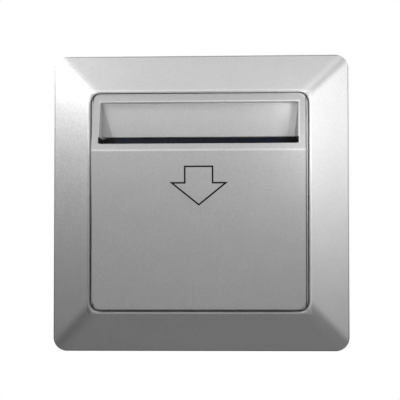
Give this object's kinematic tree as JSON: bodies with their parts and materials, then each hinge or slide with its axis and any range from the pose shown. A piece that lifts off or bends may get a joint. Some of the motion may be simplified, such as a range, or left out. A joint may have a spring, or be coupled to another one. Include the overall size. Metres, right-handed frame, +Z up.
{
  "type": "card-operated room power switch",
  "caption": "Square silver wall switch with a raised face frame and a sloped centre cover whose card slot turns the room power on.",
  "frame": {"origin": "midway between the two box screws, on the wall face", "axes": "+X right and +Z up as installed, -Y out of the wall towards the room"},
  "size_m": [0.086, 0.0452, 0.086],
  "materials": {
    "silver_paint": "satin metallic silver paint on moulded plastic",
    "grey_plastic": "plain moulded",
    "white_plastic": "plain moulded",
    "black_plastic": "satin moulded",
    "red_plastic": "plain moulded",
    "smoked_lens": "polished smoked light guide",
    "steel": "zinc plated",
    "brass": "stamped strip",
    "tinned_pins": "tin plated",
    "copper": "enamelled copper",
    "circuit_board": "green solder resist",
    "chip_black": "moulded package",
    "lamp_white": "clear lamp",
    "yellow_plastic": "boxed capacitor",
    "aluminium_can": "sleeved can",
    "blue_coating": "dipped coating",
    "blue_plastic": "relay cover",
    "grey_ceramic": "coated resistor body"
  },
  "bodies": {
    "base": {"mounting_plate": "grey_plastic", "card_pocket": "black_plastic", "slot_lens": "smoked_lens", "lever_pin": "steel", "switch_case": "black_plastic", "switch_pins": "tinned_pins", "reader_board": "circuit_board", "antenna_coil": "copper", "reader_chip": "chip_black", "locator_leds": "lamp_white", "link_pins": "tinned_pins", "link_header": "chip_black", "board_spacers": "white_plastic", "board_screws": "steel", "rear_board": "circuit_board", "film_capacitor": "yellow_plastic", "smoothing_capacitor": "aluminium_can", "varistor": "blue_coating", "bridge_rectifier": "chip_black", "fuse_resistor": "grey_ceramic", "relay_base": "black_plastic", "relay_case": "blue_plastic", "relay_pins": "tinned_pins", "relay_yoke": "steel", "relay_core": "steel", "relay_bobbin": "white_plastic", "relay_winding": "copper", "relay_contact": "brass", "rear_housing": "grey_plastic", "housing_screws": "steel", "terminal_bars": "brass", "terminal_pole_1": "white_plastic", "terminal_pole_2": "white_plastic", "terminal_pole_3": "white_plastic", "terminal_pole_4": "white_plastic"},
    "face_frame": {"outer_frame": "silver_paint"},
    "cover": {"front_cover": "silver_paint"},
    "lever": {"card_lever": "black_plastic"},
    "plunger": {"switch_plunger": "red_plastic"},
    "armature": {"relay_armature": "steel", "relay_leaf": "brass"},
    "clamp_screw_1": {"terminal_screw_1": "steel"},
    "clamp_cage_1": {"terminal_cage_1": "steel"},
    "clamp_screw_2": {"terminal_screw_2": "steel"},
    "clamp_cage_2": {"terminal_cage_2": "steel"},
    "clamp_screw_3": {"terminal_screw_3": "steel"},
    "clamp_cage_3": {"terminal_cage_3": "steel"},
    "clamp_screw_4": {"terminal_screw_4": "steel"},
    "clamp_cage_4": {"terminal_cage_4": "steel"}
  },
  "joints": [
    {"name": "frame_pull", "type": "slide", "parent": "base", "child": "face_frame", "axis": [0, -1, 0], "range_m": [0, 0.02]},
    {"name": "cover_pull", "type": "slide", "parent": "base", "child": "cover", "axis": [0, -1, 0], "range_m": [0, 0.02]},
    {"name": "lever_swing", "type": "hinge", "parent": "base", "child": "lever", "pos_m": [0, -0.0022, -0.012], "axis": [1, 0, 0], "range_deg": [0, 9], "stiffness_Nm_per_rad": 0.004, "springref_deg": -5.73},
    {"name": "plunger_press", "type": "slide", "parent": "base", "child": "plunger", "axis": [0, 1, 0], "range_m": [0, 0.00075]},
    {"name": "armature_pull", "type": "hinge", "parent": "base", "child": "armature", "pos_m": [-0.0198, 0.024, 0.0076], "axis": [0, 0, -1], "range_deg": [0, 2.3], "stiffness_Nm_per_rad": 0.002, "springref_deg": -2.86},
    {"name": "screw_turn_1", "type": "hinge", "parent": "base", "child": "clamp_screw_1", "pos_m": [-0.012, 0.0282, -0.0238], "axis": [0, -1, 0], "range_deg": [0, 1506]},
    {"name": "cage_rise_1", "type": "slide", "parent": "base", "child": "clamp_cage_1", "axis": [0, 1, 0], "range_m": [0, 0.0025]},
    {"name": "screw_turn_2", "type": "hinge", "parent": "base", "child": "clamp_screw_2", "pos_m": [-0.004, 0.0282, -0.0238], "axis": [0, -1, 0], "range_deg": [0, 1506]},
    {"name": "cage_rise_2", "type": "slide", "parent": "base", "child": "clamp_cage_2", "axis": [0, 1, 0], "range_m": [0, 0.0025]},
    {"name": "screw_turn_3", "type": "hinge", "parent": "base", "child": "clamp_screw_3", "pos_m": [0.004, 0.0282, -0.0238], "axis": [0, -1, 0], "range_deg": [0, 1506]},
    {"name": "cage_rise_3", "type": "slide", "parent": "base", "child": "clamp_cage_3", "axis": [0, 1, 0], "range_m": [0, 0.0025]},
    {"name": "screw_turn_4", "type": "hinge", "parent": "base", "child": "clamp_screw_4", "pos_m": [0.012, 0.0282, -0.0238], "axis": [0, -1, 0], "range_deg": [0, 1506]},
    {"name": "cage_rise_4", "type": "slide", "parent": "base", "child": "clamp_cage_4", "axis": [0, 1, 0], "range_m": [0, 0.0025]}
  ],
  "couplings": [
    {"joint": "plunger_press", "follows": "lever_swing", "m_per_rad": 0.0045},
    {"joint": "screw_turn_1", "follows": "cage_rise_1", "rad_per_m": 10472},
    {"joint": "screw_turn_2", "follows": "cage_rise_2", "rad_per_m": 10472},
    {"joint": "screw_turn_3", "follows": "cage_rise_3", "rad_per_m": 10472},
    {"joint": "screw_turn_4", "follows": "cage_rise_4", "rad_per_m": 10472}
  ]
}
